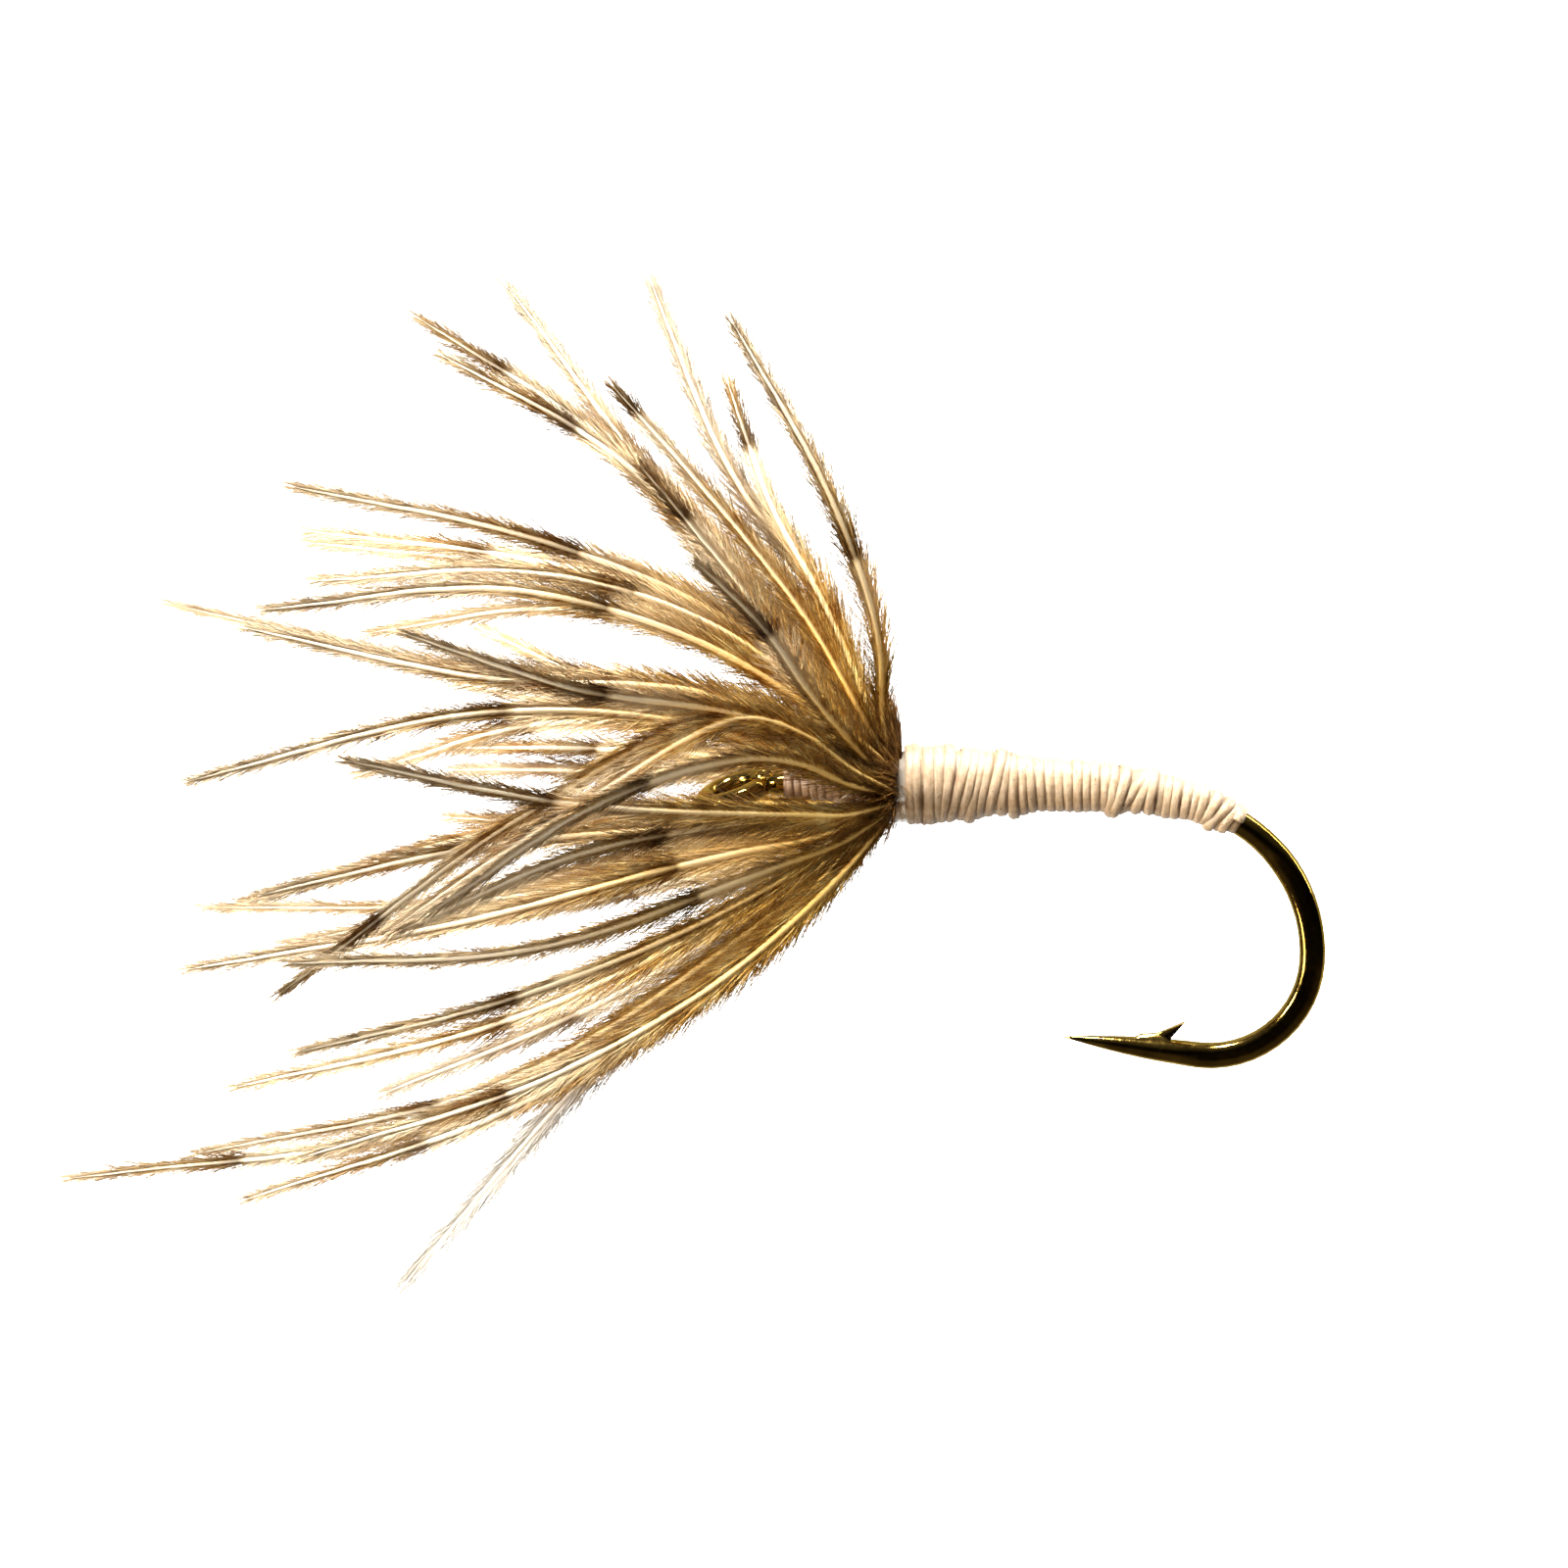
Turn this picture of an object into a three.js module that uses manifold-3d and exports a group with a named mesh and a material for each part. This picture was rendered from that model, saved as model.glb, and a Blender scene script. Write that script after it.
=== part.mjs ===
// A soft-hackle trout fly tied in the Japanese sakasa kebari style: a curved wide-gap hook, a tapered
// body of wound silk, and a reversed collar of banded game-bird hackle that sweeps forwards past the eye.
//
// Units are millimetres. The origin is the centre of the hook's eye. +X runs along the shank from the
// eye towards the bend, +Y is across the hook, and +Z is up, away from the point. The hook lies in the
// XZ plane. "Turn" is how far the wire has turned downwards from the shank's own direction.

import * as THREE from "three";
import { mergeVertices } from "three/addons/utils/BufferGeometryUtils.js";
import Module from "manifold-3d";

const wasm = await Module();
wasm.setup();

// ---- Driving dimensions ----------------------------------------------------------------------------

const WIRE_R = 0.255;
const GAP = 0.012; // running gap between one wound layer and the next

// The hook's centreline: a straight shank, arcs of one radius each, and a straight spear.
const SHANK_Z = 0.15;
const SHANK_START_X = 0.66;
const SHANK_LENGTH = 5.62;
const BEND_ARCS = [
  { radius: 14, turn: 10 },
  { radius: 4.8, turn: 17 },
  { radius: 3.2, turn: 45 },
  { radius: 3.2, turn: 20.5 },
  { radius: 2.08, turn: 95.3 },
];
const SPEAR_LENGTH = 2.78;
const GRIND_LENGTH = 2.6; // length of the point's taper
const GRIND_POWER = 0.9;
const POINT_R = 0.006;
const WIRE_STEP = 0.26; // distance between the sections of the wire
const WIRE_SIDES = 16;

// The bend is pressed flat between dies, which thins it across Y and widens it in its own plane.
const FORGED_FROM = 10.3; // distances along the centreline
const FORGED_TO = 17.2;
const FORGED_RAMP = 0.8;
const FORGED_THIN = 0.831;
const FORGED_WIDEN = 1.06;

// The eye: a ring of thinner wire whose front droops and which is rolled a little about the shank.
const EYE_R = 0.66;
const EYE_WIRE_R = 0.21;
const EYE_DROOP = 20;
const EYE_ROLL = 5;
const EYE_ARC = 324; // the rest is the gap at the cut end of the wire
const NECK_TAPER = 0.7; // length over which the shank thins down to the eye's wire

// The barb, a sliver cut from the top of the spear and lifted: its side outline in X and Z.
const BARB_OUTLINE = [[8.1, -5.15], [8.3, -5.05], [8.64, -5.03], [9.2, -4.79], [8.93, -5.1], [8.88, -5.25]];
const BARB_THICKNESS = 0.2;
const BARB_CUT = [[8.7, -4.9], [8.93, -5.15], [9.45, -5.2], [9.75, -4.9]];

// Wound silk, as outer radii at distances along the hook's centreline.
const UNDERBODY = { from: 0.28, to: 9.79, r: 0.295 };
const NECK = { from: 0.33, to: 2.18, profile: [[0, 0.325], [0.5, 0.335], [1.3, 0.36], [1.6, 0.4]] };
const STEM_ZONE = { from: 2.22, to: 2.78 };
const CEMENT = { from: 2.79, to: 2.85, r: 0.78 };
const WHIP = { from: 2.863, to: 3.2, r: 0.82 };
const SHOULDER = {
  from: 2.863,
  to: 6.2,
  profile: [[2.8, 0.7], [3.8, 0.66], [4.6, 0.55], [5.5, 0.43], [6.2, 0.36]],
};
const BODY = {
  from: 3.213,
  to: 9.75,
  profile: [
    [3.2, 0.82], [3.8, 0.76], [4.4, 0.72], [5.0, 0.65], [5.6, 0.555], [6.5, 0.52], [7.4, 0.5], [8.5, 0.425],
    [9.3, 0.37], [9.8, 0.33],
  ],
};

// The hackle: one feather wound edge to edge, its barbs spaced evenly along its stem.
const STEM_TURNS = 3;
const STEM_R = 0.083;
const STEM_PITCH = 0.178;
const STEM_HELIX_R = 0.42;
const BARB_ROOT_R = 0.055;
const BARB_TIP_R = 0.014;
const BARB_LIFT = 0.24; // how far a barb stands straight out of the stem before it sweeps forwards
const BARB_SIDES = 5;
const BARB_STEPS = 9;

// Each barb passes through two points on the way to its tip. They are listed in order round the shank,
// from the top, over the -Y side, the underside and the +Y side, back to the top.
const HACKLE_BARBS = [
  [[0.2, -0.4, 4.3], [-2.7, -0.75, 7.4], [-6.4, -1.0, 9.9]],
  [[2.9, -0.6, 3.35], [1.9, -1.1, 6.3], [-0.05, -1.5, 9.9]],
  [[-0.3, -1.0, 3.8], [-4.2, -1.8, 5.55], [-8.95, -2.5, 6.7]],
  [[0.5, -1.2, 3.85], [-2.3, -2.2, 7.2], [-5.9, -3.0, 9.45]],
  [[1.6, -1.4, 3.6], [-0.3, -2.6, 6.3], [-2.45, -3.5, 8.9]],
  [[1.3, -2.4, 3.05], [-0.4, -4.4, 5.65], [-1.9, -6.0, 7.7]],
  [[-0.4, -1.7, 3.7], [-4.2, -3.1, 5.05], [-8.5, -4.0, 5.0]],
  [[0.0, -1.8, 3.05], [-4.4, -3.3, 4.7], [-9.5, -4.5, 4.5]],
  [[1.6, -3.0, 2.45], [0.5, -5.5, 4.4], [-0.8, -7.5, 6.0]],
  [[-0.6, -2.2, 2.4], [-5.0, -4.1, 3.05], [-9.8, -5.5, 4.3]],
  [[0.2, -2.4, 2.05], [-4.2, -4.3, 0.3], [-9.2, -5.5, -3.2]],
  [[0.3, -2.8, 2.0], [-3.2, -5.2, 3.0], [-6.6, -7.0, 4.45]],
  [[0.4, -2.8, 2.0], [-3.0, -4.9, 0.65], [-7.0, -6.5, -1.75]],
  [[0.7, -3.2, 1.25], [-2.6, -5.6, 0.8], [-6.1, -7.5, -1.15]],
  [[-0.6, -2.7, 1.8], [-5.2, -4.9, 2.45], [-10.95, -6.5, 1.35]],
  [[0.3, -3.2, 0.1], [-3.8, -5.9, 0.85], [-7.8, -8.0, 2.05]],
  [[0.2, -3.0, -0.1], [-3.2, -5.2, -0.4], [-6.7, -7.0, -1.6]],
  [[-0.6, -2.0, -0.35], [-5.2, -3.7, -0.5], [-9.6, -5.0, -1.25]],
  [[0.2, -2.5, -1.35], [-4.0, -4.5, -2.4], [-9.0, -6.0, -2.45]],
  [[-1.0, -1.5, -1.25], [-5.6, -2.6, -2.25], [-11.1, -3.5, -3.05]],
  [[0.0, -1.5, -2.1], [-4.2, -2.6, -3.7], [-8.9, -3.5, -4.75]],
  [[0.2, -1.7, -3.25], [-4.0, -3.0, -5.5], [-8.85, -4.0, -6.85]],
  [[0.5, -0.8, -3.2], [-4.6, -1.5, -6.3], [-10.0, -2.0, -8.1]],
  [[-0.7, -0.1, -4.15], [-6.5, -0.2, -7.0], [-13.65, -0.3, -8.0]],
  [[-0.4, 0.4, -2.85], [-4.8, 0.7, -4.95], [-10.3, 1.0, -6.35]],
  [[-0.3, 0.8, -3.5], [-5.0, 1.5, -6.45], [-11.2, 2.0, -7.95]],
  [[0.6, 1.6, -3.1], [-3.2, 2.9, -6.65], [-6.85, 4.0, -11.05]],
  [[0.7, 2.6, -2.8], [-3.0, 4.8, -5.4], [-7.35, 6.5, -7.55]],
  [[-0.8, 1.5, -1.6], [-5.6, 2.6, -2.8], [-11.0, 3.5, -3.05]],
  [[-0.2, 1.9, -1.45], [-4.5, 3.4, -2.9], [-9.3, 4.5, -4.0]],
  [[-0.5, 2.1, -0.65], [-5.4, 3.8, -1.6], [-10.5, 5.0, -3.35]],
  [[0.1, 2.9, -1.35], [-3.5, 5.2, -2.65], [-7.0, 7.0, -4.1]],
  [[0.5, 3.3, -1.95], [-2.4, 6.0, -3.25], [-5.0, 8.0, -4.15]],
  [[0.6, 3.7, -1.05], [-2.7, 6.7, -1.9], [-6.0, 9.0, -2.15]],
  [[0.4, 3.5, -0.3], [-2.9, 6.3, -0.65], [-5.9, 8.5, -1.05]],
  [[-0.2, 2.9, 0.7], [-4.2, 5.2, 0.45], [-7.9, 7.0, -0.9]],
  [[0.4, 3.3, 0.1], [-2.8, 6.0, -0.15], [-6.0, 8.0, -0.5]],
  [[0.4, 3.1, 0.9], [-3.0, 5.6, 0.85], [-5.8, 7.5, 0.95]],
  [[0.5, 2.9, 1.3], [-2.7, 5.2, 1.35], [-5.3, 7.0, 2.2]],
  [[0.0, 2.3, 2.55], [-3.8, 4.1, 3.1], [-7.6, 5.5, 2.35]],
  [[-0.2, 1.9, 3.0], [-4.4, 3.4, 4.05], [-8.8, 4.5, 4.4]],
  [[-1.0, 1.3, 1.85], [-5.8, 2.3, 2.2], [-11.65, 3.0, 3.4]],
  [[1.8, 2.3, 2.65], [0.5, 4.1, 4.3], [-1.15, 5.5, 5.8]],
  [[-0.2, 0.9, 3.5], [-4.2, 1.5, 4.55], [-8.8, 2.0, 5.05]],
  [[0.7, 1.8, 3.35], [-1.9, 3.3, 6.2], [-4.7, 4.5, 9.75]],
  [[1.9, 1.0, 3.55], [0.7, 1.8, 5.7], [-0.15, 2.5, 8.05]],
  [[1.8, 1.2, 3.8], [0.0, 2.2, 6.1], [-1.7, 3.0, 10.0]],
  [[0.6, 0.6, 3.85], [-1.9, 1.1, 6.55], [-4.9, 1.5, 8.6]],
];

// Clipped ends, each a short tapering stub through three points.
const BUTT_TAG = { points: [[2.92, -0.12, -0.44], [2.88, -0.2, -0.72], [2.8, -0.28, -0.99]], r: 0.07 };
const TIP_TAG = { points: [[1.5, -0.36, -0.09], [1.15, -0.37, -0.1], [0.8, -0.35, -0.14]], r: 0.05 };
const THREAD_END = { points: [[2.02, -0.42, -0.22], [2.16, -0.47, -0.1], [2.36, -0.5, 0.05]], r: 0.03 };

// ---- Materials -------------------------------------------------------------------------------------

const material = (color, roughness, metalness = 0) =>
  new THREE.MeshStandardMaterial({ color, roughness, metalness });

const BRONZE = material(0x6b5424, 0.22, 1);
const SILK = material(0xefe4cf, 0.6);
const CEMENT_GLAZE = material(0xcfcabd, 0.15);
const STEM_BROWN = material(0x4a3219, 0.5);
const HACKLE_TAN = material(0xb08d5c, 0.65);

// ---- Geometry helpers ------------------------------------------------------------------------------

const radians = THREE.MathUtils.degToRad;
const vector = ([x, y, z]) => new THREE.Vector3(x, y, z);

// A closed skin over rings of equally many points. The ends are capped, or joined to each other.
function skin(rings, endsJoin = false) {
  const sides = rings[0].length;
  const points = rings.flat();
  const faces = [];
  const stretches = endsJoin ? rings.length : rings.length - 1;
  for (let i = 0; i < stretches; i++) {
    const here = i * sides;
    const next = ((i + 1) % rings.length) * sides;
    for (let j = 0; j < sides; j++) {
      const k = (j + 1) % sides;
      faces.push(here + j, here + k, next + j, here + k, next + k, next + j);
    }
  }
  if (!endsJoin) {
    const last = (rings.length - 1) * sides;
    for (let j = 1; j < sides - 1; j++) {
      faces.push(0, j + 1, j, last, last + j, last + j + 1);
    }
  }
  const geometry = new THREE.BufferGeometry().setFromPoints(points);
  return geometry.setIndex(faces);
}

// Piecewise-linear value of a profile, a list of [place, value].
function along(profile, place) {
  const after = profile.findIndex(([at]) => at >= place);
  if (after <= 0) return profile.at(after)[1];
  const [a, va] = profile[after - 1];
  const [b, vb] = profile[after];
  return va + ((vb - va) * (place - a)) / (b - a);
}

// A tapering round tube along a curve.
function taperedTube(curve, steps, sides, radiusAt) {
  const { normals, binormals } = curve.computeFrenetFrames(steps, false);
  const rings = [];
  for (let i = 0; i <= steps; i++) {
    const centre = curve.getPointAt(i / steps);
    const r = radiusAt(i / steps);
    const ring = [];
    for (let j = 0; j < sides; j++) {
      const a = (2 * Math.PI * j) / sides;
      ring.push(
        centre.clone()
          .addScaledVector(normals[i], r * Math.cos(a))
          .addScaledVector(binormals[i], r * Math.sin(a)),
      );
    }
    rings.push(ring);
  }
  return skin(rings);
}

function toManifold(geometry) {
  const bare = geometry.clone();
  bare.deleteAttribute("normal");
  bare.deleteAttribute("uv");
  const merged = mergeVertices(bare, 1e-4);
  return new wasm.Manifold(
    new wasm.Mesh({
      numProp: 3,
      vertProperties: merged.attributes.position.array,
      triVerts: new Uint32Array(merged.index.array),
    }),
  );
}

function fromManifold(solid) {
  const mesh = solid.getMesh();
  const geometry = new THREE.BufferGeometry();
  geometry.setAttribute("position", new THREE.BufferAttribute(mesh.vertProperties, 3));
  return geometry.setIndex(new THREE.BufferAttribute(mesh.triVerts, 1));
}

// ---- The hook's centreline -------------------------------------------------------------------------

const WIRE_RUNS = [
  { length: SHANK_LENGTH },
  ...BEND_ARCS.map(({ radius, turn }) => ({ radius, length: radius * radians(turn) })),
  { length: SPEAR_LENGTH },
];
const WIRE_LENGTH = WIRE_RUNS.reduce((sum, run) => sum + run.length, 0);

// The centre of the wire and the two directions across it, at a distance from the eye's ring.
function wireAt(distance) {
  let x = SHANK_START_X;
  let z = SHANK_Z;
  let turn = 0;
  let left = distance;
  for (const { length, radius } of WIRE_RUNS) {
    const run = Math.min(left, length);
    if (radius) {
      const next = turn + run / radius;
      x += radius * (Math.sin(next) - Math.sin(turn));
      z += radius * (Math.cos(next) - Math.cos(turn));
      turn = next;
    } else {
      x += run * Math.cos(turn);
      z -= run * Math.sin(turn);
    }
    left -= run;
  }
  return {
    centre: new THREE.Vector3(x, 0, z),
    inward: new THREE.Vector3(-Math.sin(turn), 0, -Math.cos(turn)),
    across: new THREE.Vector3(0, 1, 0),
  };
}

// A ring of points round the wire. shape turns a direction round the wire into its two offsets.
function ringAt(distance, shape) {
  const { centre, inward, across } = wireAt(distance);
  const ring = [];
  for (let j = 0; j < WIRE_SIDES; j++) {
    const [n, b] = shape((2 * Math.PI * (j + 0.5)) / WIRE_SIDES);
    ring.push(centre.clone().addScaledVector(inward, n).addScaledVector(across, b));
  }
  return ring;
}

// ---- The hook --------------------------------------------------------------------------------------

function wireRadius(distance) {
  const neck = Math.min(distance / NECK_TAPER, 1);
  const toPoint = Math.min((WIRE_LENGTH - distance) / GRIND_LENGTH, 1);
  const ground = Math.sin((Math.PI / 2) * toPoint) ** GRIND_POWER;
  const thinned = EYE_WIRE_R + (WIRE_R - EYE_WIRE_R) * neck;
  return Math.max(thinned * ground, POINT_R);
}

function hookWire() {
  const steps = Math.round(WIRE_LENGTH / WIRE_STEP);
  const rings = [];
  for (let i = 0; i <= steps; i++) {
    const distance = (WIRE_LENGTH * i) / steps;
    const r = wireRadius(distance);
    const pressed =
      THREE.MathUtils.smoothstep(distance, FORGED_FROM, FORGED_FROM + FORGED_RAMP) *
      (1 - THREE.MathUtils.smoothstep(distance, FORGED_TO - FORGED_RAMP, FORGED_TO));
    const most = r * (1 + (FORGED_THIN - 1) * pressed);
    const widen = 1 + (FORGED_WIDEN - 1) * pressed;
    rings.push(
      ringAt(distance, (a) => [
        r * widen * Math.cos(a),
        THREE.MathUtils.clamp(r * Math.sin(a), -most, most),
      ]),
    );
  }
  return skin(rings);
}

// The eye's ring, swept from inside the shank's end round to the wire's cut end.
class EyeArc extends THREE.Curve {
  getPoint(t, target = new THREE.Vector3()) {
    const droop = radians(EYE_DROOP);
    const roll = radians(EYE_ROLL);
    const back = new THREE.Vector3(Math.cos(droop), 0, Math.sin(droop));
    const up = new THREE.Vector3(-Math.sin(droop), 0, Math.cos(droop));
    const side = new THREE.Vector3(0, Math.cos(roll), 0).addScaledVector(up, Math.sin(roll));
    const a = radians(EYE_ARC) * t;
    return target.copy(back).multiplyScalar(EYE_R * Math.cos(a)).addScaledVector(side, EYE_R * Math.sin(a));
  }
}

// A plate cut to a side outline given in X and Z, centred on the hook's plane.
function sidePlate(outline, thickness) {
  const shape = new THREE.Shape(outline.map(([x, z]) => new THREE.Vector2(x, z)));
  const plate = new THREE.ExtrudeGeometry(shape, { depth: thickness, bevelEnabled: false });
  return plate.translate(0, 0, -thickness / 2).rotateX(Math.PI / 2);
}

function hook() {
  const eye = taperedTube(new EyeArc(), 30, 12, () => EYE_WIRE_R);
  return fromManifold(
    toManifold(hookWire())
      .subtract(toManifold(sidePlate(BARB_CUT, 2 * WIRE_R)))
      .add(toManifold(sidePlate(BARB_OUTLINE, BARB_THICKNESS)))
      .add(toManifold(eye)),
  );
}

// ---- The wound silk, cement and stem ---------------------------------------------------------------

// A layer round the wire between two radii, each given as a function of the distance along it.
function sleeve({ from, to }, innerAt, outerAt, step = 0.35) {
  const steps = Math.max(2, Math.round((to - from) / step));
  const round = (distance, r) => ringAt(distance, (a) => [r * Math.cos(a), r * Math.sin(a)]);
  const outer = [];
  const inner = [];
  for (let i = 0; i <= steps; i++) {
    const distance = from + ((to - from) * i) / steps;
    outer.push(round(distance, outerAt(distance)));
    inner.unshift(round(distance, innerAt(distance)));
  }
  return skin([...outer, ...inner], true);
}

const overUnderbody = () => UNDERBODY.r + GAP;
const shoulderR = (distance) => along(SHOULDER.profile, distance);

// Under the body's own wraps lies the shoulder, and past its end the underbody.
const overShoulder = (distance) =>
  distance < SHOULDER.to + GAP ? shoulderR(Math.min(distance, SHOULDER.to)) + GAP : overUnderbody();

class StemHelix extends THREE.Curve {
  getPoint(t, target = new THREE.Vector3()) {
    const a = 2 * Math.PI * STEM_TURNS * t;
    const x = SHANK_START_X + STEM_ZONE.to - STEM_R - STEM_PITCH * STEM_TURNS * t;
    return target.set(x, -STEM_HELIX_R * Math.sin(a), SHANK_Z + STEM_HELIX_R * Math.cos(a));
  }
}
const STEM = new StemHelix();

// ---- The hackle's barbs ----------------------------------------------------------------------------

// Neighbours round the shank sit on different turns of the stem, so each turn fills the gaps of the last.
function barbCurve(index, points) {
  const perTurn = HACKLE_BARBS.length / STEM_TURNS;
  const place = (index % STEM_TURNS) * perTurn + Math.floor(index / STEM_TURNS);
  const seat = STEM.getPoint((place + 0.5) / HACKLE_BARBS.length);
  const outward = new THREE.Vector3(0, seat.y, seat.z - SHANK_Z).normalize();
  const root = seat.addScaledVector(outward, STEM_R + GAP);
  const lifted = root.clone().addScaledVector(outward, BARB_LIFT);
  lifted.x -= BARB_LIFT / 2;
  return new THREE.CatmullRomCurve3([root, lifted, ...points.map(vector)]);
}

const barbRadius = (t) => BARB_TIP_R + (BARB_ROOT_R - BARB_TIP_R) * (1 - t) ** 0.7;

function clippedStub({ points, r }) {
  return taperedTube(new THREE.CatmullRomCurve3(points.map(vector)), 4, 8, (t) => r * (1 - 0.3 * t));
}

// ---- Assembly --------------------------------------------------------------------------------------

const fly = new THREE.Group();

function add(name, geometry, finish) {
  const mesh = new THREE.Mesh(geometry, finish);
  mesh.name = name;
  fly.add(mesh);
}

add("hook", hook(), BRONZE);
add("thread_underbody", sleeve(UNDERBODY, () => WIRE_R + GAP, () => UNDERBODY.r), SILK);
add("thread_neck_wraps", sleeve(NECK, overUnderbody, (d) => along(NECK.profile, d - NECK.from)), SILK);
add("thread_shoulder", sleeve(SHOULDER, overUnderbody, shoulderR), SILK);
add("thread_body", sleeve(BODY, overShoulder, (d) => along(BODY.profile, d)), SILK);
add("whip_finish", sleeve(WHIP, overShoulder, () => WHIP.r), SILK);
add("head_cement", sleeve(CEMENT, overUnderbody, () => CEMENT.r), CEMENT_GLAZE);
add("thread_end", clippedStub(THREAD_END), SILK);
add("hackle_stem", taperedTube(STEM, 16 * STEM_TURNS, 6, () => STEM_R), STEM_BROWN);
add("stem_butt_tag", clippedStub(BUTT_TAG), STEM_BROWN);
add("feather_tip_tag", clippedStub(TIP_TAG), STEM_BROWN);
HACKLE_BARBS.forEach((points, index) => {
  const tube = taperedTube(barbCurve(index, points), BARB_STEPS, BARB_SIDES, barbRadius);
  add(`hackle_barb_${String(index + 1).padStart(2, "0")}`, tube, HACKLE_TAN);
});

export default fly;
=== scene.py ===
"""The looks of a soft-hackle trout fly: bronzed hook, wound silk body and banded game-bird hackle."""

import math

import bpy
import numpy as np
from mathutils import Matrix, Vector


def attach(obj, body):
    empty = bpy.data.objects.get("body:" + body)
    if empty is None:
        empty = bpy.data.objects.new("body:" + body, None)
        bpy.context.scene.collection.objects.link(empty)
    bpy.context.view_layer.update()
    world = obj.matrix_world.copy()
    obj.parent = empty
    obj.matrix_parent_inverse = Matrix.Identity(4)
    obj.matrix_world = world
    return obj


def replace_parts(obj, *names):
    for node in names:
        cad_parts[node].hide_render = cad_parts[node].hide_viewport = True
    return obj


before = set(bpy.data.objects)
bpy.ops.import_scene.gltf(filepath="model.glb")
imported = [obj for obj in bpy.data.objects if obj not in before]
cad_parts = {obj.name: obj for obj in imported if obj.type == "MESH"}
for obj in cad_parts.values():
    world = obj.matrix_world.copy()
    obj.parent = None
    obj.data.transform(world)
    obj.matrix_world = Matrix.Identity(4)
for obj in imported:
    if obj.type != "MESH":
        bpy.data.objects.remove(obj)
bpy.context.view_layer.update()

MM = 0.001
BODY = "root"
rng = np.random.default_rng(20)

# ---- The hook's centreline, from the same driving dimensions as the CAD hook ------------------------

SHANK_START = np.array([0.66, 0.0, 0.15])  # mm
SHANK_LENGTH = 5.62
BEND_ARCS = [(14, 10), (4.8, 17), (3.2, 45), (3.2, 20.5), (2.08, 95.3)]  # radius in mm, turn in degrees
WIRE_R = 0.255
ACROSS = np.array([0.0, 1.0, 0.0])


def wire_at(distance):
    """Centre, tangent and outward normal (away from the gap) of the wire, in mm, at a distance in mm."""
    x, z, turn, left = SHANK_START[0], SHANK_START[2], 0.0, distance
    run = min(left, SHANK_LENGTH)
    x += run
    left -= run
    for radius, degrees in BEND_ARCS:
        run = min(left, radius * math.radians(degrees))
        after = turn + run / radius
        x += radius * (math.sin(after) - math.sin(turn))
        z += radius * (math.cos(after) - math.cos(turn))
        turn, left = after, left - run
    tangent = np.array([math.cos(turn), 0.0, -math.sin(turn)])
    outward = np.array([math.sin(turn), 0.0, math.cos(turn)])
    return np.array([x, 0.0, z]) + left * tangent, tangent, outward


WIRE_SAMPLES = np.linspace(0, 12, 1201)  # mm along the wire, a little past the end of the silk
WIRE_POINTS = np.array([wire_at(s)[0] for s in WIRE_SAMPLES])


def node_points(name):
    """The CAD node's own corners, in mm, each once."""
    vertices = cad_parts[name].data.vertices
    points = np.zeros(3 * len(vertices))
    vertices.foreach_get("co", points)
    return np.unique(np.round(points.reshape(-1, 3) / MM, 4), axis=0)


def outer_profile(name):
    """A wound layer's outer radius along the wire, as arrays of distance and radius in mm."""
    points = node_points(name)
    away = np.linalg.norm(points[:, None, :] - WIRE_POINTS[None], axis=2)
    place, radius = WIRE_SAMPLES[away.argmin(1)], away.min(1)
    stations = np.unique(np.round(place, 1))
    reach = 0.09  # mm either side of a station
    outer = [radius[np.abs(place - s) < reach].max() for s in stations]
    return stations, np.array(outer)


# ---- Mesh helpers -----------------------------------------------------------------------------------


class Pile:
    """Vertices, faces and per-vertex values of one piece, gathered from many small closed forms."""

    def __init__(self):
        self.points, self.faces, self.values, self.count = [], [], {}, 0

    def add(self, points, faces, **values):
        points = np.asarray(points, float).reshape(-1, 3)
        self.points.append(points)
        self.faces.extend((np.asarray(block) + self.count) for block in faces)
        for key, value in values.items():
            self.values.setdefault(key, []).append(np.broadcast_to(value, len(points)).astype(float))
        self.count += len(points)

    def build(self, name, material, slot):
        """The finished Blender object, riding on the fly's one body. Points are in mm."""
        points = np.concatenate(self.points) * MM
        mesh = bpy.data.meshes.new(name)
        polygons = [row for block in self.faces for row in block.tolist()]
        mesh.from_pydata(points.tolist(), [], polygons)
        for key, parts in self.values.items():
            layer = mesh.attributes.new(key, "FLOAT", "POINT")
            layer.data.foreach_set("value", np.concatenate(parts).astype(np.float32))
        mesh.polygons.foreach_set("use_smooth", [True] * len(mesh.polygons))
        mesh.materials.append(material)
        mesh.validate()
        piece = bpy.data.objects.new(name, mesh)
        bpy.context.scene.collection.objects.link(piece)
        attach(piece, BODY)
        return piece


def unit(v):
    return v / np.maximum(np.linalg.norm(v, axis=-1, keepdims=True), 1e-12)


def ring_angles(corners):
    return 2 * np.pi * np.arange(corners) / corners


def length_so_far(path):
    """The distance along a path at each of its points."""
    return np.r_[0, np.cumsum(np.linalg.norm(np.diff(path, axis=0), axis=1))]


def tube_faces(rings, sides):
    """Quads along a tube of rings, and its two end caps."""
    i, j = np.meshgrid(np.arange(rings - 1), np.arange(sides), indexing="ij")
    k = (j + 1) % sides
    quads = np.stack([i * sides + j, i * sides + k, (i + 1) * sides + k, (i + 1) * sides + j], -1)
    caps = [np.arange(sides)[::-1][None], np.arange(sides)[None] + (rings - 1) * sides]
    return [quads.reshape(-1, 4), *caps]


def ring_faces(rings, sides):
    """Quads over a tube of rings whose last ring joins its first, which makes it a closed ring."""
    i, j = np.meshgrid(np.arange(rings), np.arange(sides), indexing="ij")
    k, n = (j + 1) % sides, (i + 1) % rings
    return [np.stack([i * sides + j, i * sides + k, n * sides + k, n * sides + j], -1).reshape(-1, 4)]


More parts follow.
